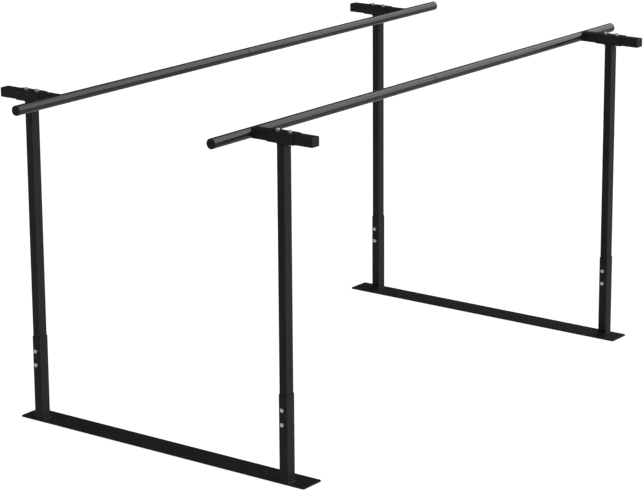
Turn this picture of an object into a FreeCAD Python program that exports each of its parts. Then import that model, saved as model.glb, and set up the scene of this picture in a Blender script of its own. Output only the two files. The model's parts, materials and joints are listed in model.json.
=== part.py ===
"""Parallel bars: two rails on bolted, telescopic uprights over two steel base plates.

Frame of the part: origin on the floor under the middle, +X to the right across the rails,
+Y to the rear along the rails, +Z up. Millimetres.
"""
import FreeCAD, Part
import math
import os

from FreeCAD import Rotation, Vector

# Driving dimensions -----------------------------------------------------------------------
RAIL_LENGTH = 2500.0          # over the end caps
RAIL_DIAMETER = 36.0
RAIL_WALL = 2.6
RAIL_SPACING = 850.0          # between rail axes
RAIL_AXIS_Z = 1188.0          # above the floor
POST_SPACING_X = 1107.0       # between upright axes, left to right
POST_SPACING_Y = 2066.0       # between upright axes, front to rear

PLATE_LENGTH = 1278.0
PLATE_WIDTH = 100.0
PLATE_THICKNESS = 5.0
PLATE_CORNER = 7.0
PLATE_EDGE_ROUND = 0.8

SOCKET_X = 34.0
SOCKET_Y = 44.0
SOCKET_WALL = 1.8
SOCKET_TOP_Z = 315.0
FIT_GAP = 0.3                 # between sliding tubes, each side
TUBE_WALL = 2.0
TUBE_CORNER = 3.0
INNER_CORNER_LEAST = 0.6      # inside a thick-walled tube

ARM_HEIGHT = 34.0
ARM_WIDTH = 40.0
ARM_END_X = 682.5             # outer face of the arm's end cap
SLEEVE_LENGTH = 110.0
SLEEVE_WALL = 1.7

HEIGHT_TRAVEL = 100.0         # the uprights rise this far in their sockets
WIDTH_TRAVEL = 25.0           # the arms slide this far each way in their sleeves
LIFT_GAP = 0.5                # upright foot above the base plate
UPRIGHT_CORNER = 2.0

BOLT_DIAMETER = 8.0
BOLT_HOLE = 8.5
SLOT_WIDTH = 9.0
BOLT_END_CHAMFER = 0.9
THREAD_GAP = 0.1              # a threaded hole is this much wider than its plain-drawn screw
HEX_FLATS = 13.0
HEX_FACE_SHARE = 0.95         # round flat face of a head or nut, of its width across flats
HEX_CHAMFER_ANGLE = 30.0
HEAD_HEIGHT = 5.3
NUT_HEIGHT = 6.5
BOLT_TIP = 1.5                # thread showing past the nut
SOCKET_BOLT_Z = (211.0, 262.0)
ARM_BOLT_PITCH = 50.0

CAP_LIP = 3.0                 # plastic end caps: lip outside the tube, plug inside it
CAP_PLUG = 18.0
CAP_PLUG_GAP = 0.1
CAP_PLUG_CORNER = 2.0
CAP_ROUND = 1.6

SPIGOT_LENGTH = 180.0
SPIGOT_WALL = 3.0
SEAM_GAP = 1.5
SEAM_CHAMFER = 0.8
SPIGOT_SCREW_Y = 45.0         # from the seam
SPIGOT_SCREW_DIAMETER = 6.0
SPIGOT_SCREW_LENGTH = 9.0
SPIGOT_SCREW_GAP = 0.4        # round the screw in the rail's wall
SPIGOT_SCREW_INSET = 0.4      # below the rail's surface
HEX_SOCKET_FLATS = 3.0
HEX_SOCKET_DEPTH = 3.5

# Worked-out dimensions --------------------------------------------------------------------
SOCKET_INNER_X = SOCKET_X - 2 * SOCKET_WALL
SOCKET_INNER_Y = SOCKET_Y - 2 * SOCKET_WALL
UPRIGHT_X = SOCKET_INNER_X - 2 * FIT_GAP
UPRIGHT_Y = SOCKET_INNER_Y - 2 * FIT_GAP
SLEEVE_INNER_Y = ARM_WIDTH + 2 * FIT_GAP
SLEEVE_INNER_Z = ARM_HEIGHT + 2 * FIT_GAP
SLEEVE_Y = SLEEVE_INNER_Y + 2 * SLEEVE_WALL
SLEEVE_Z = SLEEVE_INNER_Z + 2 * SLEEVE_WALL
SLEEVE_BOTTOM_Z = RAIL_AXIS_Z - SLEEVE_Z / 2
SLEEVE_TOP_Z = RAIL_AXIS_Z + SLEEVE_Z / 2
PLATE_INSET = (PLATE_WIDTH - SOCKET_Y) / 2     # plates reach inward, sockets stand at their outer edge

SIDES_X = {"left": -1, "right": 1}
SIDES_Y = {"front": -1, "rear": 1}
NEAR = 0.01                   # closer than this counts as touching, when edges are picked
X_AXIS = Vector(1, 0, 0)
Y_AXIS = Vector(0, 1, 0)
Z_AXIS = Vector(0, 0, 1)


def oriented(shape, axis):
    """Turn a shape built along +Z so that it runs along axis, its own X staying level."""
    if axis == X_AXIS:
        turn = Rotation(Y_AXIS, 90)
    elif axis == Y_AXIS:
        turn = Rotation(X_AXIS, -90)
    else:
        turn = Rotation()
    return shape.transformed(FreeCAD.Placement(Vector(), turn).toMatrix())


def moved(shape, x, y, z):
    """A copy of the shape moved by x, y, z."""
    copy = shape.copy()
    copy.translate(Vector(x, y, z))
    return copy


def round_rectangle(size_x, size_y, corner):
    """A flat face centred on the origin, with rounded corners."""
    hx, hy = size_x / 2, size_y / 2
    edges = []
    for sx, sy in ((1, 1), (-1, 1), (-1, -1), (1, -1)):
        centre = Vector(sx * (hx - corner), sy * (hy - corner), 0)
        start = centre + (Vector(sx * corner, 0, 0) if sx * sy > 0 else Vector(0, sy * corner, 0))
        end = centre + (Vector(0, sy * corner, 0) if sx * sy > 0 else Vector(sx * corner, 0, 0))
        middle = centre + Vector(sx, sy, 0) * (corner / 2 ** 0.5)
        edges.append((start, middle, end))
    outline = []
    for index, (start, middle, end) in enumerate(edges):
        outline.append(Part.Arc(start, middle, end).toShape())
        following = edges[(index + 1) % 4][0]
        if (following - end).Length > NEAR:
            outline.append(Part.makeLine(end, following))
    return Part.Face(Part.Wire(Part.__sortEdges__(outline)))


def bar(size_x, size_y, length, corner):
    """A solid bar with rounded corners, standing on the origin along +Z."""
    return round_rectangle(size_x, size_y, corner).extrude(Vector(0, 0, length))


def box_tube(size_x, size_y, length, wall, corner):
    """A rectangular tube standing on the origin along +Z."""
    inner_corner = max(corner - wall, INNER_CORNER_LEAST)
    inside = bar(size_x - 2 * wall, size_y - 2 * wall, length, inner_corner)
    return bar(size_x, size_y, length, corner).cut(inside)


def rod(diameter, length, axis=Z_AXIS):
    """A round rod from the origin along axis."""
    return Part.makeCylinder(diameter / 2, length, Vector(), axis)


def hexagon(flats, height):
    """A hexagonal prism on the origin along +Z, measured across its flats."""
    radius = flats / 3 ** 0.5
    corners = [Rotation(Z_AXIS, 60 * turn).multVec(Vector(radius, 0, 0)) for turn in range(7)]
    return Part.Face(Part.makePolygon(corners)).extrude(Vector(0, 0, height))


def chamfered_hexagon(flats, height):
    """A hexagonal head or nut whose outer corners are turned off at its upper end."""
    face_radius = flats / 2 * HEX_FACE_SHARE
    depth = (flats - face_radius) * math.tan(math.radians(HEX_CHAMFER_ANGLE))
    cone = Part.makeCone(flats, face_radius, depth)
    cone.translate(Vector(0, 0, height - depth))
    below = Part.makeCylinder(flats, height - depth)
    return hexagon(flats, height).common(below.fuse(cone))


def slot_cutter(width, length, depth):
    """A round-ended slot, long in X, centred on the origin and cutting both ways along Z."""
    cutter = round_rectangle(length, width, width / 2).extrude(Vector(0, 0, depth))
    return moved(cutter, 0, 0, -depth / 2)


def through_bolt(grip):
    """A hex bolt along +Z whose head bears on z = 0 from below and whose nut bears on z = grip."""
    length = grip + NUT_HEIGHT + BOLT_TIP
    shank = rod(BOLT_DIAMETER, length)
    tip = [edge for edge in shank.Edges if edge.CenterOfMass.z > length - NEAR]
    shank = shank.makeChamfer(BOLT_END_CHAMFER, tip)
    head = chamfered_hexagon(HEX_FLATS, HEAD_HEIGHT)
    head = head.transformed(FreeCAD.Placement(Vector(), Rotation(X_AXIS, 180)).toMatrix())
    return shank.fuse(head).removeSplitter()


def hex_nut():
    """A hex nut on the origin along +Z, bored to run on the bolt."""
    return chamfered_hexagon(HEX_FLATS, NUT_HEIGHT).cut(rod(BOLT_DIAMETER + THREAD_GAP, NUT_HEIGHT))


def base_plate(side_y):
    """One flat strip on the floor, reaching inward from the sockets on its outer edge."""
    plate = bar(PLATE_LENGTH, PLATE_WIDTH, PLATE_THICKNESS, PLATE_CORNER)
    top_edges = [edge for edge in plate.Edges if edge.CenterOfMass.z > PLATE_THICKNESS - NEAR]
    plate = plate.makeFillet(PLATE_EDGE_ROUND, top_edges)
    return moved(plate, 0, side_y * (POST_SPACING_Y / 2 - PLATE_INSET), 0)


def socket():
    """A rectangular sleeve welded upright on the plate, drilled across for its two bolts."""
    height = SOCKET_TOP_Z - PLATE_THICKNESS
    tube = box_tube(SOCKET_X, SOCKET_Y, height, SOCKET_WALL, TUBE_CORNER)
    for z in SOCKET_BOLT_Z:
        hole = moved(rod(BOLT_HOLE, 2 * SOCKET_Y, Y_AXIS), 0, -SOCKET_Y, z - PLATE_THICKNESS)
        tube = tube.cut(hole)
    return moved(tube, 0, 0, PLATE_THICKNESS)


def upright():
    """The inner post: a tube with a long slot low down, which rides over the socket's bolts."""
    foot_z = PLATE_THICKNESS + LIFT_GAP
    tube = box_tube(UPRIGHT_X, UPRIGHT_Y, SLEEVE_BOTTOM_Z - foot_z, TUBE_WALL, UPRIGHT_CORNER)
    tube = moved(tube, 0, 0, foot_z)
    slot_low = SOCKET_BOLT_Z[0] - HEIGHT_TRAVEL - SLOT_WIDTH / 2
    slot_high = SOCKET_BOLT_Z[1] + SLOT_WIDTH / 2
    cutter = slot_cutter(SLOT_WIDTH, slot_high - slot_low, 2 * UPRIGHT_Y)
    cutter = cutter.transformed(FreeCAD.Placement(Vector(), Rotation(Y_AXIS, 90)).toMatrix())
    cutter = cutter.transformed(FreeCAD.Placement(Vector(), Rotation(Z_AXIS, 90)).toMatrix())
    return tube.cut(moved(cutter, 0, 0, (slot_low + slot_high) / 2))


def head_sleeve():
    """The short tube welded across the upright's top, in which the arm slides."""
    sleeve = box_tube(SLEEVE_Z, SLEEVE_Y, SLEEVE_LENGTH, SLEEVE_WALL, TUBE_CORNER)
    sleeve = moved(oriented(sleeve, X_AXIS), -SLEEVE_LENGTH / 2, 0, RAIL_AXIS_Z)
    for side in (-1, 1):
        hole = moved(rod(BOLT_HOLE, 2 * SLEEVE_Z), side * ARM_BOLT_PITCH / 2, 0, RAIL_AXIS_Z - SLEEVE_Z)
        sleeve = sleeve.cut(hole)
    return sleeve


def arm(side_x):
    """The cross arm: coped to the rail at one end, slotted where the head bolts pass through."""
    rail_x = side_x * RAIL_SPACING / 2
    end_x = side_x * (ARM_END_X - CAP_LIP)
    tube = box_tube(ARM_HEIGHT, ARM_WIDTH, abs(end_x - rail_x), TUBE_WALL, TUBE_CORNER)
    tube = moved(oriented(tube, X_AXIS), min(rail_x, end_x), 0, RAIL_AXIS_Z)
    rail = moved(rod(RAIL_DIAMETER, 2 * ARM_WIDTH, Y_AXIS), rail_x, -ARM_WIDTH, RAIL_AXIS_Z)
    slot_length = ARM_BOLT_PITCH + 2 * WIDTH_TRAVEL + SLOT_WIDTH
    slot = slot_cutter(SLOT_WIDTH, slot_length, 2 * ARM_HEIGHT)
    tube = tube.cut(rail).cut(moved(slot, side_x * POST_SPACING_X / 2, 0, RAIL_AXIS_Z))
    return max(tube.Solids, key=lambda solid: solid.Volume)


def arm_end_cap(side_x):
    """A plastic plug that closes the arm's outer end."""
    lip = bar(ARM_HEIGHT, ARM_WIDTH, CAP_LIP, TUBE_CORNER)
    outer_edges = [edge for edge in lip.Edges if edge.CenterOfMass.z > CAP_LIP - NEAR]
    lip = lip.makeFillet(CAP_ROUND, outer_edges)
    inner_x = ARM_HEIGHT - 2 * TUBE_WALL - 2 * CAP_PLUG_GAP
    inner_y = ARM_WIDTH - 2 * TUBE_WALL - 2 * CAP_PLUG_GAP
    plug = moved(box_tube(inner_x, inner_y, CAP_PLUG, TUBE_WALL, CAP_PLUG_CORNER), 0, 0, -CAP_PLUG)
    cap = lip.fuse(plug).removeSplitter()
    cap = moved(oriented(cap, X_AXIS), ARM_END_X - CAP_LIP, 0, RAIL_AXIS_Z)
    return cap if side_x > 0 else cap.mirror(Vector(), X_AXIS)


def rail_half(side_y):
    """Half of one rail: a round tube from the seam to the end cap."""
    length = RAIL_LENGTH / 2 - CAP_LIP - SEAM_GAP / 2
    tube = rod(RAIL_DIAMETER, length)
    tube = tube.makeChamfer(SEAM_CHAMFER, [edge for edge in tube.Edges if abs(edge.CenterOfMass.z) < NEAR])
    tube = tube.cut(rod(RAIL_DIAMETER - 2 * RAIL_WALL, length))
    tube = moved(oriented(tube, Y_AXIS), 0, SEAM_GAP / 2, 0)
    hole = rod(SPIGOT_SCREW_DIAMETER + SPIGOT_SCREW_GAP, RAIL_DIAMETER)
    tube = tube.cut(moved(hole, 0, SPIGOT_SCREW_Y, -RAIL_DIAMETER))
    return tube if side_y > 0 else tube.mirror(Vector(), Y_AXIS)


def rail_spigot():
    """The inner tube that joins the two halves of a rail."""
    diameter = RAIL_DIAMETER - 2 * RAIL_WALL - 2 * CAP_PLUG_GAP
    tube = rod(diameter, SPIGOT_LENGTH).cut(rod(diameter - 2 * SPIGOT_WALL, SPIGOT_LENGTH))
    tube = moved(oriented(tube, Y_AXIS), 0, -SPIGOT_LENGTH / 2, 0)
    for side in (-1, 1):
        hole = rod(SPIGOT_SCREW_DIAMETER + THREAD_GAP, RAIL_DIAMETER)
        tube = tube.cut(moved(hole, 0, side * SPIGOT_SCREW_Y, -RAIL_DIAMETER))
    return tube


def spigot_screws():
    """Two socket grub screws, let in flush under the rail, that lock the spigot."""
    screw = rod(SPIGOT_SCREW_DIAMETER, SPIGOT_SCREW_LENGTH)
    screw = screw.cut(hexagon(HEX_SOCKET_FLATS, HEX_SOCKET_DEPTH))
    low_z = SPIGOT_SCREW_INSET - RAIL_DIAMETER / 2
    return [moved(screw, 0, side * SPIGOT_SCREW_Y, low_z) for side in (-1, 1)]


def rail_end_cap(side_y):
    """A round plastic plug that closes one end of a rail."""
    lip = rod(RAIL_DIAMETER, CAP_LIP)
    lip = lip.makeFillet(CAP_ROUND, [edge for edge in lip.Edges if edge.CenterOfMass.z > CAP_LIP - NEAR])
    diameter = RAIL_DIAMETER - 2 * RAIL_WALL - 2 * CAP_PLUG_GAP
    plug = rod(diameter, CAP_PLUG).cut(rod(diameter - 2 * TUBE_WALL, CAP_PLUG))
    cap = lip.fuse(moved(plug, 0, 0, -CAP_PLUG)).removeSplitter()
    cap = moved(oriented(cap, Y_AXIS), 0, RAIL_LENGTH / 2 - CAP_LIP, 0)
    return cap if side_y > 0 else cap.mirror(Vector(), Y_AXIS)


def socket_fasteners():
    """The two bolts through a socket and their nuts: heads to the rear, nuts to the front."""
    turn = FreeCAD.Placement(Vector(), Rotation(X_AXIS, 90)).toMatrix()
    bolt = through_bolt(SOCKET_Y).transformed(turn)
    nut = moved(hex_nut(), 0, 0, SOCKET_Y).transformed(turn)
    bolts = [moved(bolt, 0, SOCKET_Y / 2, z) for z in SOCKET_BOLT_Z]
    nuts = [moved(nut, 0, SOCKET_Y / 2, z) for z in SOCKET_BOLT_Z]
    return bolts, nuts


def arm_fasteners():
    """The two bolts through a head sleeve and their nuts: heads below, nuts on top."""
    places = [(side * ARM_BOLT_PITCH / 2, 0, SLEEVE_BOTTOM_Z) for side in (-1, 1)]
    bolts = [moved(through_bolt(SLEEVE_Z), *place) for place in places]
    nuts = [moved(hex_nut(), x, y, z + SLEEVE_Z) for x, y, z in places]
    return bolts, nuts


def export(name, shapes, x=0.0, y=0.0, z=0.0):
    """Write one node, made of one or more separate solids, moved to its place."""
    solids = [solid for shape in shapes for solid in moved(shape, x, y, z).Solids]
    node = solids[0] if len(solids) == 1 else Part.makeCompound(solids)
    node.exportStep("parts/" + name + ".step")


def build():
    os.makedirs("parts", exist_ok=True)
    for end, side_y in SIDES_Y.items():
        export(end + "_base_plate", [base_plate(side_y)])
        for side, side_x in SIDES_X.items():
            corner = end + "_" + side + "_"
            post_x = side_x * POST_SPACING_X / 2
            post_y = side_y * POST_SPACING_Y / 2
            socket_bolts, socket_nuts = socket_fasteners()
            arm_bolts, arm_nuts = arm_fasteners()
            export(corner + "socket", [socket()], post_x, post_y)
            export(corner + "socket_bolts", socket_bolts, post_x, post_y)
            export(corner + "socket_nuts", socket_nuts, post_x, post_y)
            export(corner + "upright", [upright()], post_x, post_y)
            export(corner + "head_sleeve", [head_sleeve()], post_x, post_y)
            export(corner + "arm_bolts", arm_bolts, post_x, post_y)
            export(corner + "arm_nuts", arm_nuts, post_x, post_y)
            export(corner + "arm", [arm(side_x)], 0, post_y)
            export(corner + "arm_end_cap", [arm_end_cap(side_x)], 0, post_y)
    for side, side_x in SIDES_X.items():
        rail_x = side_x * RAIL_SPACING / 2
        export(side + "_rail_spigot", [rail_spigot()], rail_x, 0, RAIL_AXIS_Z)
        export(side + "_rail_spigot_screws", spigot_screws(), rail_x, 0, RAIL_AXIS_Z)
        for end, side_y in SIDES_Y.items():
            export(side + "_rail_" + end + "_half", [rail_half(side_y)], rail_x, 0, RAIL_AXIS_Z)
            export(side + "_rail_" + end + "_cap", [rail_end_cap(side_y)], rail_x, 0, RAIL_AXIS_Z)


build()
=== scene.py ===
"""Parallel bars: materials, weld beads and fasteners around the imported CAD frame.

Frame: metres, origin on the floor under the middle, +X right, +Y rear along the rails, +Z up.
"""
import json
import math

import bmesh
import bpy
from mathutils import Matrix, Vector


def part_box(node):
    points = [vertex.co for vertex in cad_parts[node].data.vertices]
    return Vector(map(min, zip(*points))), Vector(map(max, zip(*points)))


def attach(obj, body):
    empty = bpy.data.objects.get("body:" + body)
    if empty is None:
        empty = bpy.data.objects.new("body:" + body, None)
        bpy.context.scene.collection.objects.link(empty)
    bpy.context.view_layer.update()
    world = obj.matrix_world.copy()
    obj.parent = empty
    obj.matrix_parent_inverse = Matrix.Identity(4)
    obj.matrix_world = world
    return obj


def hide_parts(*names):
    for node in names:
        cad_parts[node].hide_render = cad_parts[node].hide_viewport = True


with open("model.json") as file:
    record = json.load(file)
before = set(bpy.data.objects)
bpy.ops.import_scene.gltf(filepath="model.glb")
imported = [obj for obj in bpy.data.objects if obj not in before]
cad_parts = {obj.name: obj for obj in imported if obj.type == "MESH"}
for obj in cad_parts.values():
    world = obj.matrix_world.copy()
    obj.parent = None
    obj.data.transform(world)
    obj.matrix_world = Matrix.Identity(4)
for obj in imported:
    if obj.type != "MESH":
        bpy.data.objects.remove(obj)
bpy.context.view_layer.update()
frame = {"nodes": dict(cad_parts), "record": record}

# Camera and studio ------------------------------------------------------------------------
CAMERA_PLACE = (5.536, -7.453, 3.056)
CAMERA_PITCH = -14.37         # degrees above level
CAMERA_YAW = 35.49            # degrees from +Y towards -X
CAMERA_LENS = 144.2
CAMERA_SHIFT = (-0.10, -0.07)
CAMERA_REACH = 200.0          # beyond the floor's far edge
FLOOR_SIZE = 90.0
FLOOR_Z = -0.0004             # a hair under the plates
FLOOR_ROUGHNESS = 0.9
FLOOR_COLOUR = (0.55, 0.55, 0.55, 1.0)
FLOOR_GLOW = 0.21             # the floor is a softly lit panel, as in a product studio
FLOOR_WHITE = 0.62            # added where it is seen, so that it looks plain white
WHITE = (1.0, 1.0, 1.0, 1.0)
SKY_DIM = 0.025               # radiance of the studio's dark parts
SKY_TOP = 0.05                # added by the ceiling light
SKY_WALL = 2.45               # added by the wide wall light
SKY_FILL = 1.3                # added by the small fill light
TOWARDS_WALL = Vector((0.94, 0.34, 0.0))       # right, and a little to the rear
WALL_SIDE = (-0.15, 0.25)     # where the wall light fades in, as the cosine from its middle
WALL_TOP = (0.55, 0.85)       # where it fades out above
WALL_FRONT = (-0.45, -0.05)   # where it fades in from the front
WALL_REAR = (0.88, 0.96)      # where it fades out to the rear
TOWARDS_FILL = Vector((-0.55, -0.68, 0.48))    # left, front and above
FILL_SIDES = (0.87, 0.96)     # where it fades in, as the cosine from its middle

# Surfaces ---------------------------------------------------------------------------------
NOISE_MIDDLE = (0.3, 0.7)     # where most of a noise's values lie
NOISE_CORE = (0.35, 0.65)     # the same, for harder changes
EDGE_COSINES = (0.90, 0.99)   # between a surface and its rounded copy, at an edge and on a flat
UP_COSINES = (0.75, 0.98)     # between a surface's normal and up
BEVEL_SAMPLES = 6
MIX_SHARE, MIX_FIRST, MIX_SECOND, MIX_RESULT = 0, 6, 7, 2      # a Mix node's colour sockets

# Fasteners --------------------------------------------------------------------------------
HEX_FLATS = 0.013
HEX_CHAMFER = math.radians(30)
CHAMFER_CIRCLE = 0.95         # of half the flats
CHAMFER_RADIUS = HEX_FLATS / 2 * CHAMFER_CIRCLE
HEAD_HEIGHT = 0.0053
HEAD_DISH = 0.00025           # depth of the dish in a bolt's head
DISH_RIM = 0.72               # of the chamfer's circle
DISH_FLOOR = 0.9              # of the dish's rim
WASHER_FACE = 0.0004
NUT_HEIGHT = 0.0065
BOLT_RADIUS = 0.004
BOLT_TIP = 0.0015
BOLT_END_CHAMFER = 0.0009
THREAD_PITCH = 0.00125
THREAD_DEPTH = 0.00062
THREAD_CREST = 1.25           # a ridge above 1 is cut off flat
THREAD_SHOWN = 0.0036         # modelled length of thread at the bolt's end
THREAD_STEPS = 10             # rings a pitch
NUT_BORE_RADIUS = 0.00405
NUT_COUNTERSINK = 0.0004
RING_STEPS = 72
SHARP_ANGLE = 30              # degrees between faces whose edge is not smoothed

# Weld beads -------------------------------------------------------------------------------
FOOT_LEG = 0.0036
HEAD_LEG = 0.0022
RAIL_LEG = 0.0026
TUBE_CORNER = 0.003
UPRIGHT_CORNER = 0.00201
CORNER_STEPS_LEAST = 6
BEAD_ROOT = 0.0012            # how far a bead's root sits inside the steel
BEAD_STEP = 0.0005
BEAD_SECTION = 7              # points across a bead's face
BEAD_CROWN = 0.86             # reach of its middle in a square corner, of the leg
BEAD_CROWN_CLOSING = 0.46     # added in full where the corner closes up
BEAD_LEG_CLOSING = 0.35       # added to the leg in the same way
BEAD_TAPER = 0.003
BEAD_START = 0.25             # of the leg, at an open bead's ends
BEAD_SHARP_ANGLE = 60
RIPPLE_PITCH = 0.0023
RIPPLE_HEIGHT = 0.055         # of the bead's leg
RIPPLE_LAG = 1.6              # radians by which a ripple's middle trails its ends
RIPPLE_DRIFT = (0.4, 410.0)   # share and radians a metre of the ripples' slow change
BEAD_WANDER = ((0.05, 173.0, 0.0), (0.04, 389.0, 1.0))    # share, radians a metre, phase
FLUSH_SIDE = -0.2             # a foot has no weld where its outward y is below this

BODY_OF = {n: body for body, ns in frame["record"]["behaviour"]["bodies"].items() for n in ns}


# Node trees -------------------------------------------------------------------------------
class Nodes:
    """Short calls that build one material's node tree."""

    def __init__(self, tree):
        self.tree = tree
        self.coords = None

    def add(self, kind, settings=None, **sockets):
        """A node of that kind. A socket's name has _ for each space."""
        node = self.tree.nodes.new(kind)
        for name, value in (settings or {}).items():
            setattr(node, name, value)
        for name, value in sockets.items():
            self.set(node.inputs[name.replace("_", " ")], value)
        return node

    def set(self, socket, value):
        """Links a socket to another one, or gives it a number, vector or colour."""
        if isinstance(value, bpy.types.NodeSocket):
            self.tree.links.new(value, socket)
        else:
            socket.default_value = value

    def math(self, operation, *values):
        """The result of a Math node."""
        node = self.add("ShaderNodeMath", {"operation": operation})
        for socket, value in zip(node.inputs, values):
            self.set(socket, value)
        return node.outputs[0]

    def span(self, value, low, high, start=0.0, end=1.0):
        """value eased from low..high to start..end, held at both ends."""
        settings = {"interpolation_type": "SMOOTHSTEP"}
        limits = {"From_Min": low, "From_Max": high, "To_Min": start, "To_Max": end}
        return self.add("ShaderNodeMapRange", settings, Value=value, **limits).outputs[0]

    def noise(self, scale, detail, stretch=(1.0, 1.0, 1.0)):
        """Noise from 0 to 1, scale features a metre, longer along an axis with stretch below 1."""
        if self.coords is None:
            self.coords = self.add("ShaderNodeTexCoord").outputs["Object"]
        where = self.add("ShaderNodeMapping", Vector=self.coords, Scale=stretch).outputs[0]
        node = self.add("ShaderNodeTexNoise", Vector=where, Scale=scale, Detail=detail)
        return node.outputs[0]

    def spread(self, noise, start=0.0, end=1.0, part=NOISE_MIDDLE):
        """Noise stretched so that it runs from start to end."""
        return self.span(noise, *part, start, end)

    def blend(self, share, first, second):
        """A colour from first to second by share."""
        node = self.add("ShaderNodeMix", {"data_type": "RGBA"})
        for index, value in ((MIX_SHARE, share), (MIX_FIRST, first), (MIX_SECOND, second)):
            self.set(node.inputs[index], value)
        return node.outputs[MIX_RESULT]

    def dot(self, first, second):
        """The dot product of two vectors."""
        node = self.add("ShaderNodeVectorMath", {"operation": "DOT_PRODUCT"})
        self.set(node.inputs[0], first)
        self.set(node.inputs[1], second)
        return node.outputs["Value"]

    def edges(self, width):
        """1 along the surface's sharp edges, 0 on its flats."""
        settings = {"samples": BEVEL_SAMPLES}
        rounded = self.add("ShaderNodeBevel", settings, Radius=width).outputs[0]
        flat = self.add("ShaderNodeNewGeometry").outputs["Normal"]
        return self.span(self.dot(rounded, flat), *EDGE_COSINES, 1.0, 0.0)

    def facing_up(self):
        """1 where the surface faces up."""
        normal = self.add("ShaderNodeNewGeometry").outputs["Normal"]
        z = self.add("ShaderNodeSeparateXYZ", Vector=normal).outputs[2]
        return self.span(z, *UP_COSINES)

    def bump(self, height, distance, under=None):
        """A normal bumped by height times distance, on top of the normal under."""
        node = self.add("ShaderNodeBump", Height=height, Distance=distance, Strength=1.0)
        if under is not None:
            self.set(node.inputs["Normal"], under)
        return node.outputs[0]


def new_material(name):
    """An empty material with its node helper."""
    material = bpy.data.materials.new(name)
    material.use_nodes = True
    material.node_tree.nodes.clear()
    return material, Nodes(material.node_tree)


def finish_material(nodes, **sockets):
    """Adds the Principled shader and the output."""
    shader = nodes.add("ShaderNodeBsdfPrincipled", **sockets)
    nodes.add("ShaderNodeOutputMaterial", Surface=shader.outputs[0])


# Materials --------------------------------------------------------------------------------
def grey(value, warm=0.0):
    """A neutral colour, a little warmer with warm."""
    return (value * (1 + warm), value, value * (1 - warm), 1.0)


def black_powder_coat():
    """Semi-matt black powder coat: orange peel, tone drift, a little dust, rubbed edges."""
    darkest, lightest = grey(0.0105), grey(0.0145, -0.03)
    dust_colour, dust_cover, dust_dulling = grey(0.09, 0.06), 0.05, 0.12
    rub_width, rub_colour, rub_cover, rub_shine = 0.0011, grey(0.075, 0.02), 0.5, 0.12
    smoothest, roughest = 0.44, 0.56
    peel_height, grain_height = 0.0001, 0.00001
    material, nodes = new_material("black_powder_coat_detail")
    drift = nodes.noise(scale=5.0, detail=3.0)
    peel = nodes.noise(scale=620.0, detail=1.5)
    grain = nodes.noise(scale=2800.0, detail=1.0)
    rub_patches = nodes.span(nodes.noise(scale=95.0, detail=4.0), low=0.50, high=0.72)
    rubbed = nodes.math("MULTIPLY", nodes.edges(rub_width), rub_patches)
    dust_patches = nodes.span(nodes.noise(scale=38.0, detail=5.0), low=0.42, high=0.78)
    dust = nodes.math("MULTIPLY", nodes.facing_up(), dust_patches)
    colour = nodes.blend(nodes.spread(drift), darkest, lightest)
    colour = nodes.blend(nodes.math("MULTIPLY", dust, dust_cover), colour, dust_colour)
    colour = nodes.blend(nodes.math("MULTIPLY", rubbed, rub_cover), colour, rub_colour)
    roughness = nodes.spread(nodes.noise(scale=24.0, detail=3.0), smoothest, roughest)
    roughness = nodes.math("ADD", roughness, nodes.math("MULTIPLY", dust, dust_dulling))
    roughness = nodes.math("SUBTRACT", roughness, nodes.math("MULTIPLY", rubbed, rub_shine))
    normal = nodes.bump(grain, grain_height, nodes.bump(peel, peel_height))
    sockets = {"Base_Color": colour, "Roughness": roughness, "Normal": normal}
    finish_material(nodes, **sockets, Specular_IOR_Level=0.2)
    return material


def grey_rail_finish():
    """Glossy dark grey tube: fine draw lines along it, duller patches worn by hands, hairlines."""
    darkest, lightest = grey(0.012), grey(0.019, 0.01)
    hair_colour, hair_cover, hair_dulling = grey(0.06), 0.2, 0.08
    line_share, patch_share = 0.4, 0.6
    smoothest, roughest, smudge_dulling = 0.08, 0.15, 0.05
    line_height = 0.000004
    material, nodes = new_material("grey_rail_finish_detail")
    lines = nodes.noise(scale=1500.0, detail=2.0, stretch=(1.0, 0.012, 1.0))
    patches = nodes.noise(scale=9.0, detail=4.0, stretch=(1.0, 0.35, 1.0))
    scratches = nodes.noise(scale=420.0, detail=2.0, stretch=(1.0, 0.06, 1.0))
    hairs = nodes.span(scratches, low=0.66, high=0.74)
    smudge = nodes.noise(scale=60.0, detail=4.0)
    line_tone = nodes.math("MULTIPLY", lines, line_share)
    tone = nodes.math("ADD", line_tone, nodes.math("MULTIPLY", patches, patch_share))
    colour = nodes.blend(nodes.spread(tone, part=NOISE_CORE), darkest, lightest)
    colour = nodes.blend(nodes.math("MULTIPLY", hairs, hair_cover), colour, hair_colour)
    roughness = nodes.spread(patches, smoothest, roughest)
    smudged = nodes.span(smudge, low=0.45, high=0.75, start=0.0, end=smudge_dulling)
    roughness = nodes.math("ADD", roughness, smudged)
    roughness = nodes.math("ADD", roughness, nodes.math("MULTIPLY", hairs, hair_dulling))
    normal = nodes.bump(lines, line_height)
    sockets = {"Base_Color": colour, "Roughness": roughness, "Normal": normal}
    finish_material(nodes, **sockets, IOR=1.4)
    return material


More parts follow.
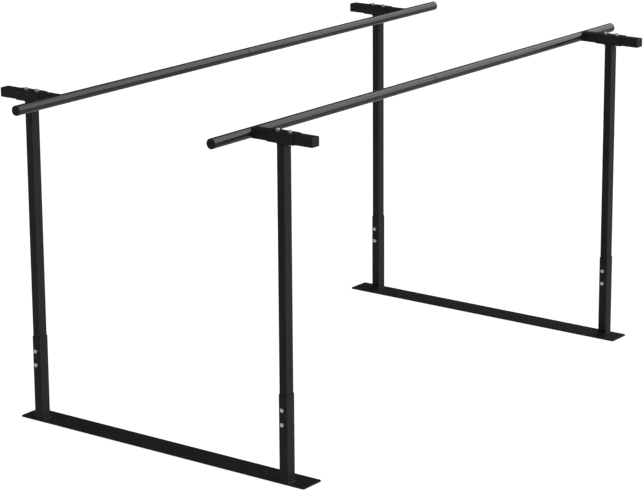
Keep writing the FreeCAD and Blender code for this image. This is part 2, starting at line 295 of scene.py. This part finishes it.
def zinc_plated_steel():
    """Bright zinc plate with a faint passivation tint and small spangles, and a painted highlight
    along its edges: a band blended to an even, untinted grey.
    """
    bluest, yellowest = (0.82, 0.83, 0.86, 1.0), (0.87, 0.85, 0.80, 1.0)
    edge_width, edge_highlight_colour, edge_highlight_cover = 0.0005, grey(0.85), 0.4
    smoothest, roughest = 0.26, 0.38
    spangle_height = 0.000004
    material, nodes = new_material("zinc_plated_steel_detail")
    tint = nodes.noise(scale=130.0, detail=3.0)
    spangle = nodes.noise(scale=900.0, detail=2.0)
    colour = nodes.blend(nodes.spread(tint, part=NOISE_CORE), bluest, yellowest)
    # painted highlight: along every edge the colour is blended towards an even, untinted grey
    painted_edge_highlight = nodes.math("MULTIPLY", nodes.edges(edge_width), edge_highlight_cover)
    colour = nodes.blend(painted_edge_highlight, colour, edge_highlight_colour)
    roughness = nodes.spread(spangle, smoothest, roughest)
    normal = nodes.bump(spangle, spangle_height)
    sockets = {"Base_Color": colour, "Roughness": roughness, "Normal": normal}
    finish_material(nodes, **sockets, Metallic=0.85)
    return material


def bare_steel():
    """Oiled bare steel with turning marks and darker mottling."""
    darkest, lightest = grey(0.30, 0.03), grey(0.46)
    smoothest, roughest = 0.28, 0.45
    mark_height = 0.00001
    material, nodes = new_material("bare_steel_detail")
    mottle = nodes.noise(scale=70.0, detail=4.0)
    turning = nodes.noise(scale=1800.0, detail=1.5, stretch=(0.05, 1.0, 0.05))
    colour = nodes.blend(nodes.spread(mottle), darkest, lightest)
    roughness = nodes.spread(turning, smoothest, roughest)
    normal = nodes.bump(turning, mark_height)
    sockets = {"Base_Color": colour, "Roughness": roughness, "Normal": normal}
    finish_material(nodes, **sockets, Metallic=1.0)
    return material


def black_plastic():
    """Moulded black plastic: spark-eroded texture, scuffed rims."""
    darkest, lightest = grey(0.0085), grey(0.013)
    scuff_width, scuff_colour, scuff_cover, scuff_shine = 0.0009, grey(0.06), 0.35, 0.1
    smoothest, roughest = 0.46, 0.60
    texture_height = 0.00003
    material, nodes = new_material("black_plastic_detail")
    texture = nodes.noise(scale=2100.0, detail=2.0)
    drift = nodes.noise(scale=55.0, detail=3.0)
    scuff_patches = nodes.span(nodes.noise(scale=240.0, detail=3.0), low=0.45, high=0.7)
    scuffed = nodes.math("MULTIPLY", nodes.edges(scuff_width), scuff_patches)
    colour = nodes.blend(nodes.spread(drift), darkest, lightest)
    colour = nodes.blend(nodes.math("MULTIPLY", scuffed, scuff_cover), colour, scuff_colour)
    roughness = nodes.spread(drift, smoothest, roughest)
    roughness = nodes.math("SUBTRACT", roughness, nodes.math("MULTIPLY", scuffed, scuff_shine))
    normal = nodes.bump(texture, texture_height)
    sockets = {"Base_Color": colour, "Roughness": roughness, "Normal": normal}
    finish_material(nodes, **sockets, Specular_IOR_Level=0.2)
    return material


MATERIALS = {
    "black_powder_coat": black_powder_coat(),
    "grey_rail_finish": grey_rail_finish(),
    "zinc_plated_steel": zinc_plated_steel(),
    "bare_steel": bare_steel(),
    "black_plastic": black_plastic(),
}


def paint_cad_nodes():
    """Gives each CAD node the detailed material of its slot."""
    for node in frame["nodes"].values():
        for slot in node.material_slots:
            slot.material = MATERIALS[slot.material.name]


# Mesh helpers -----------------------------------------------------------------------------
def loft(mesh, rings, loop=False):
    """Joins rings of points with quads; the ends are closed, or joined to each other with loop."""
    made = [[mesh.verts.new(point) for point in ring] for ring in rings]
    pairs = list(zip(made, made[1:]))
    if loop:
        pairs.append((made[-1], made[0]))
    else:
        mesh.faces.new(made[0])
        mesh.faces.new(made[-1])
    for low, high in pairs:
        for index in range(len(low)):
            after = (index + 1) % len(low)
            mesh.faces.new((low[index], low[after], high[after], high[index]))


def new_piece(name, mesh, slot_name, beside, sharp=SHARP_ANGLE):
    """Turns a bmesh into a piece that rides with the CAD node called beside."""
    bmesh.ops.recalc_face_normals(mesh, faces=mesh.faces)
    data = bpy.data.meshes.new(name)
    mesh.to_mesh(data)
    mesh.free()
    data.shade_smooth()
    data.set_sharp_from_angle(angle=math.radians(sharp))
    data.materials.append(MATERIALS[slot_name])
    piece = bpy.data.objects.new(name, data)
    bpy.context.scene.collection.objects.link(piece)
    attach(piece, BODY_OF[beside])
    return piece


def turned(radius, z):
    """A ring of points about Z. radius and z are numbers or functions of the angle."""
    points = []
    for step in range(RING_STEPS):
        angle = 2 * math.pi * step / RING_STEPS
        r = radius(angle) if callable(radius) else radius
        height = z(angle) if callable(z) else z
        points.append(Vector((r * math.cos(angle), r * math.sin(angle), height)))
    return points


# Fasteners --------------------------------------------------------------------------------
def hex_radius(angle):
    """Distance from the axis to a hexagon's side, with a corner at angle 0."""
    sixth = math.pi / 3
    return HEX_FLATS / 2 / math.cos(angle % sixth - sixth / 2)


def chamfer_drop(angle):
    """How far the turned chamfer has fallen where it meets the hexagon's side."""
    return (hex_radius(angle) - CHAMFER_RADIUS) * math.tan(HEX_CHAMFER)


def nut_rings():
    """A hex nut on z = 0, chamfered on both faces and countersunk at both ends of its bore."""
    wide = NUT_BORE_RADIUS + NUT_COUNTERSINK
    return [
        turned(wide, NUT_HEIGHT),
        turned(CHAMFER_RADIUS, NUT_HEIGHT),
        turned(hex_radius, lambda angle: NUT_HEIGHT - chamfer_drop(angle)),
        turned(hex_radius, chamfer_drop),
        turned(CHAMFER_RADIUS, 0.0),
        turned(wide, 0.0),
        turned(NUT_BORE_RADIUS, NUT_COUNTERSINK),
        turned(NUT_BORE_RADIUS, NUT_HEIGHT - NUT_COUNTERSINK),
    ]


def thread_radius(angle, z, start, end):
    """The bolt's surface in its threaded end: a helical ridge, faded in and chamfered off."""
    turn = (z / THREAD_PITCH - angle / (2 * math.pi)) % 1.0
    ridge = min(1.0, THREAD_CREST * (1 - abs(2 * turn - 1)))
    fade = min(1.0, (z - start) / THREAD_PITCH)
    threaded = BOLT_RADIUS - THREAD_DEPTH * (1 - ridge) * fade
    return min(threaded, BOLT_RADIUS - BOLT_END_CHAMFER + (end - z))


def bolt_rings(grip):
    """A hex bolt with its head under z = 0, whose thread shows past a nut on z = grip."""
    end = grip + NUT_HEIGHT + BOLT_TIP
    start = end - THREAD_SHOWN
    dish = CHAMFER_RADIUS * DISH_RIM
    rings = [
        turned(dish * DISH_FLOOR, HEAD_DISH - HEAD_HEIGHT),
        turned(dish, -HEAD_HEIGHT),
        turned(CHAMFER_RADIUS, -HEAD_HEIGHT),
        turned(hex_radius, lambda angle: chamfer_drop(angle) - HEAD_HEIGHT),
        turned(hex_radius, -WASHER_FACE),
        turned(CHAMFER_RADIUS, -WASHER_FACE),
        turned(CHAMFER_RADIUS, 0.0),
        turned(BOLT_RADIUS, 0.0),
    ]
    count = round(THREAD_SHOWN / THREAD_PITCH * THREAD_STEPS)
    for row in range(count + 1):
        z = start + (end - start) * row / count
        rings.append(turned(lambda angle: thread_radius(angle, z, start, end), z))
    return rings


def fastener_axes(node, along_y):
    """Where a CAD node's two bolts bear, their direction, and the grip from head to nut."""
    low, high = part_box(node)
    ends = HEAD_HEIGHT + NUT_HEIGHT + BOLT_TIP
    if along_y:
        x = (low.x + high.x) / 2
        half = HEX_FLATS / 2
        bearing = high.y - HEAD_HEIGHT
        places = [Vector((x, bearing, low.z + half)), Vector((x, bearing, high.z - half))]
        return places, Vector((0, -1, 0)), high.y - low.y - ends
    y = (low.y + high.y) / 2
    half = HEX_FLATS / math.sqrt(3)
    bearing = low.z + HEAD_HEIGHT
    places = [Vector((low.x + half, y, bearing)), Vector((high.x - half, y, bearing))]
    return places, Vector((0, 0, 1)), high.z - low.z - ends


def placed(rings, place, direction):
    """Rings built up along +Z, stood on their place along direction instead."""
    tilt = Vector((0, 0, 1)).rotation_difference(direction)
    return [[place + tilt @ point for point in ring] for ring in rings]


def fasteners(prefix, along_y):
    """Detailed bolts and nuts in the place of a pair of CAD nodes."""
    bolts_node, nuts_node = prefix + "_bolts", prefix + "_nuts"
    places, direction, grip = fastener_axes(bolts_node, along_y)
    bolts, nuts = bmesh.new(), bmesh.new()
    for index, place in enumerate(places):
        loft(bolts, placed(bolt_rings(grip), place, direction))
        nut_place = place + direction * grip
        loft(nuts, placed(nut_rings(), nut_place, direction), loop=True)
    bolt_piece = new_piece(prefix + "_hex_bolts", bolts, "zinc_plated_steel", bolts_node)
    nut_piece = new_piece(prefix + "_hex_nuts", nuts, "zinc_plated_steel", nuts_node)
    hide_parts(bolts_node)
    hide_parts(nuts_node)


# Weld beads -------------------------------------------------------------------------------
def rounded_loop(half_a, half_b, corner):
    """(place, outward) round a rounded rectangle, from the middle of its low b side."""
    steps = max(CORNER_STEPS_LEAST, round(math.pi / 2 * corner / BEAD_STEP))
    corners = [
        (half_a, -half_b, -90),
        (half_a, half_b, 0),
        (-half_a, half_b, 90),
        (-half_a, -half_b, 180),
    ]
    outline = [(Vector((0, -half_b)), Vector((0, -1)))]
    for a, b, start in corners:
        centre = Vector((a - math.copysign(corner, a), b - math.copysign(corner, b)))
        for step in range(steps + 1):
            angle = math.radians(start + 90 * step / steps)
            outward = Vector((math.cos(angle), math.sin(angle)))
            outline.append((centre + outward * corner, outward))
    outline.append(outline[0])
    points = []
    for (here, here_out), (there, there_out) in zip(outline, outline[1:]):
        count = max(1, round((there - here).length / BEAD_STEP))
        for step in range(count):
            share = step / count
            points.append((here.lerp(there, share), here_out.lerp(there_out, share).normalized()))
    return points


def bead_section(corner, first, second, leg, travelled, inside):
    """One section of a bead in a corner whose two surfaces lead away along first and second."""
    closing = first.dot(second)
    crown = BEAD_CROWN + BEAD_CROWN_CLOSING * closing
    leg *= 1 + BEAD_LEG_CLOSING * closing
    angle = first.angle(second)
    drift_share, drift_rate = RIPPLE_DRIFT
    drift = 1 + drift_share * math.sin(travelled * drift_rate)
    wander = sum(share * math.sin(travelled * rate + phase) for share, rate, phase in BEAD_WANDER)
    points = []
    for step in range(BEAD_SECTION):
        share = step / (BEAD_SECTION - 1)
        along = first * math.sin((1 - share) * angle) + second * math.sin(share * angle)
        along.normalize()
        bow = math.sin(math.pi * share)
        phase = 2 * math.pi * travelled / RIPPLE_PITCH - RIPPLE_LAG * bow
        ripple = RIPPLE_HEIGHT * bow * math.sin(phase) * drift
        points.append(corner + along * leg * (1 + (crown - 1) * bow + ripple + wander))
    points.append(corner + inside + second * leg / 2)
    points.append(corner + inside + first * leg / 2)
    return points


def bead(mesh, stations, leg, closed):
    """Sweeps a bead along stations of (corner, first, second, inside)."""
    travelled = 0.0
    length = sum((b[0] - a[0]).length for a, b in zip(stations, stations[1:]))
    rings = []
    for index, (corner, first, second, inside) in enumerate(stations):
        if index:
            travelled += (corner - stations[index - 1][0]).length
        from_end = min(travelled, length - travelled)
        taper = 1.0 if closed else min(1.0, BEAD_START + from_end / BEAD_TAPER)
        rings.append(bead_section(corner, first, second, leg * taper, travelled, inside))
    loft(mesh, rings, loop=closed)


def new_weld(name, mesh, beside):
    """Turns a bead into a powder-coated piece that rides with the CAD node called beside."""
    new_piece(name, mesh, "black_powder_coat", beside, sharp=BEAD_SHARP_ANGLE)


def foot_weld(corner_name, outer):
    """The fillet weld round a socket's foot, save on the side flush with the plate's edge."""
    socket = corner_name + "_socket"
    low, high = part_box(socket)
    middle = (low + high) / 2
    up = Vector((0, 0, 1))
    loop = rounded_loop((high.x - low.x) / 2, (high.y - low.y) / 2, TUBE_CORNER)
    stations = []
    for place, outward in loop:
        if outward.y < FLUSH_SIDE:
            continue
        side = Vector((outward.x, -outer * outward.y, 0))
        foot = Vector((middle.x + place.x, middle.y - outer * place.y, low.z))
        stations.append((foot, side, up, -(side + up) * BEAD_ROOT))
    mesh = bmesh.new()
    bead(mesh, stations, FOOT_LEG, closed=False)
    new_weld(corner_name + "_foot_weld", mesh, socket)


def head_weld(corner_name):
    """The weld all round an upright's top, under its head sleeve."""
    upright = corner_name + "_upright"
    low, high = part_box(upright)
    middle = (low + high) / 2
    down = Vector((0, 0, -1))
    stations = []
    for place, outward in rounded_loop((high.x - low.x) / 2, (high.y - low.y) / 2, UPRIGHT_CORNER):
        side = Vector((outward.x, outward.y, 0))
        top = Vector((middle.x + place.x, middle.y + place.y, high.z))
        stations.append((top, side, down, -down * BEAD_ROOT - side * BEAD_ROOT / 2))
    mesh = bmesh.new()
    bead(mesh, stations, HEAD_LEG, closed=True)
    new_weld(corner_name + "_head_weld", mesh, upright)


def rail_weld(corner_name, side_name):
    """The weld round the end of an arm, where it is coped to the round rail."""
    arm = corner_name + "_arm"
    low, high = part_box(arm)
    rail_low, rail_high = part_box(side_name + "_rail_front_half")
    rail_x, rail_z = (rail_low.x + rail_high.x) / 2, (rail_low.z + rail_high.z) / 2
    radius = (rail_high.x - rail_low.x) / 2
    away = 1 if low.x + high.x > 2 * rail_x else -1
    middle_y = (low.y + high.y) / 2
    along = Vector((away, 0, 0))
    stations = []
    for place, outward in rounded_loop((high.y - low.y) / 2, (high.z - low.z) / 2, TUBE_CORNER):
        off = math.sqrt(max(radius ** 2 - place.y ** 2, 0.0))
        corner = Vector((rail_x + away * off, middle_y + place.x, rail_z + place.y))
        normal = Vector((away * off, 0, place.y)).normalized()
        spread = Vector((0, outward.x, outward.y))
        spread = (spread - normal * spread.dot(normal)).normalized()
        inside = -(spread + along) * BEAD_ROOT / 2 - Vector((0, outward.x, outward.y)) * BEAD_ROOT
        stations.append((corner, spread, along, inside))
    mesh = bmesh.new()
    bead(mesh, stations, RAIL_LEG, closed=True)
    new_weld(corner_name + "_rail_weld", mesh, arm)


# Studio -----------------------------------------------------------------------------------
def make_floor():
    """The plain pale floor, a softly lit panel."""
    half = FLOOR_SIZE / 2
    mesh = bmesh.new()
    corners = [(-half, -half), (half, -half), (half, half), (-half, half)]
    mesh.faces.new([mesh.verts.new((x, y, FLOOR_Z)) for x, y in corners])
    data = bpy.data.meshes.new("studio_floor")
    mesh.to_mesh(data)
    mesh.free()
    material, nodes = new_material("studio_floor")
    seen = nodes.add("ShaderNodeLightPath").outputs["Is Camera Ray"]
    glow = nodes.math("MULTIPLY_ADD", seen, FLOOR_WHITE, FLOOR_GLOW)
    sockets = {"Base_Color": FLOOR_COLOUR, "Emission_Color": WHITE, "Emission_Strength": glow}
    finish_material(nodes, **sockets, Roughness=FLOOR_ROUGHNESS, Specular_IOR_Level=0.0)
    data.materials.append(material)
    floor = bpy.data.objects.new("studio_floor", data)
    bpy.context.scene.collection.objects.link(floor)


def make_sky():
    """Soft studio light: a faint ceiling, a wide wall light, and a fill light opposite."""
    world = bpy.data.worlds.new("studio")
    bpy.context.scene.world = world
    world.use_nodes = True
    world.node_tree.nodes.clear()
    nodes = Nodes(world.node_tree)
    direction = nodes.add("ShaderNodeTexCoord").outputs["Generated"]
    _, y, z = nodes.add("ShaderNodeSeparateXYZ", Vector=direction).outputs
    light = nodes.math("ADD", nodes.span(z, *WALL_TOP, 0.0, SKY_TOP), SKY_DIM)
    wall = nodes.span(nodes.dot(direction, TOWARDS_WALL), *WALL_SIDE)
    top_fade = nodes.span(z, *WALL_TOP, SKY_WALL, 0.0)
    front_fade = nodes.span(y, *WALL_FRONT)
    rear_fade = nodes.span(y, *WALL_REAR, 1.0, 0.0)
    for fade in (top_fade, front_fade, rear_fade):
        wall = nodes.math("MULTIPLY", wall, fade)
    fill = nodes.span(nodes.dot(direction, TOWARDS_FILL), *FILL_SIDES, 0.0, SKY_FILL)
    light = nodes.math("ADD", nodes.math("ADD", light, wall), fill)
    seen = nodes.add("ShaderNodeLightPath").outputs["Is Camera Ray"]
    glow = nodes.add("ShaderNodeBackground", Color=WHITE, Strength=light)
    plain = nodes.add("ShaderNodeBackground", Color=WHITE, Strength=1.0)
    mixed = nodes.add("ShaderNodeMixShader", Fac=seen)
    nodes.set(mixed.inputs[1], glow.outputs[0])
    nodes.set(mixed.inputs[2], plain.outputs[0])
    nodes.add("ShaderNodeOutputWorld", Surface=mixed.outputs[0])


def make_camera():
    """The camera at the view's angle, with a small shift that frames the object."""
    data = bpy.data.cameras.new("camera")
    data.lens = CAMERA_LENS
    data.shift_x, data.shift_y = CAMERA_SHIFT
    data.clip_end = CAMERA_REACH
    camera = bpy.data.objects.new("camera", data)
    camera.location = CAMERA_PLACE
    camera.rotation_euler = (math.radians(90 + CAMERA_PITCH), 0, math.radians(CAMERA_YAW))
    bpy.context.scene.collection.objects.link(camera)
    bpy.context.scene.camera = camera


# Scene ------------------------------------------------------------------------------------
make_camera()
make_floor()
make_sky()
paint_cad_nodes()
for end, outer in (("front", -1), ("rear", 1)):
    for side in ("left", "right"):
        name = end + "_" + side
        fasteners(name + "_socket", along_y=True)
        fasteners(name + "_arm", along_y=False)
        foot_weld(name, outer)
        head_weld(name)
        rail_weld(name, side)
bpy.context.scene.view_settings.view_transform = "Standard"
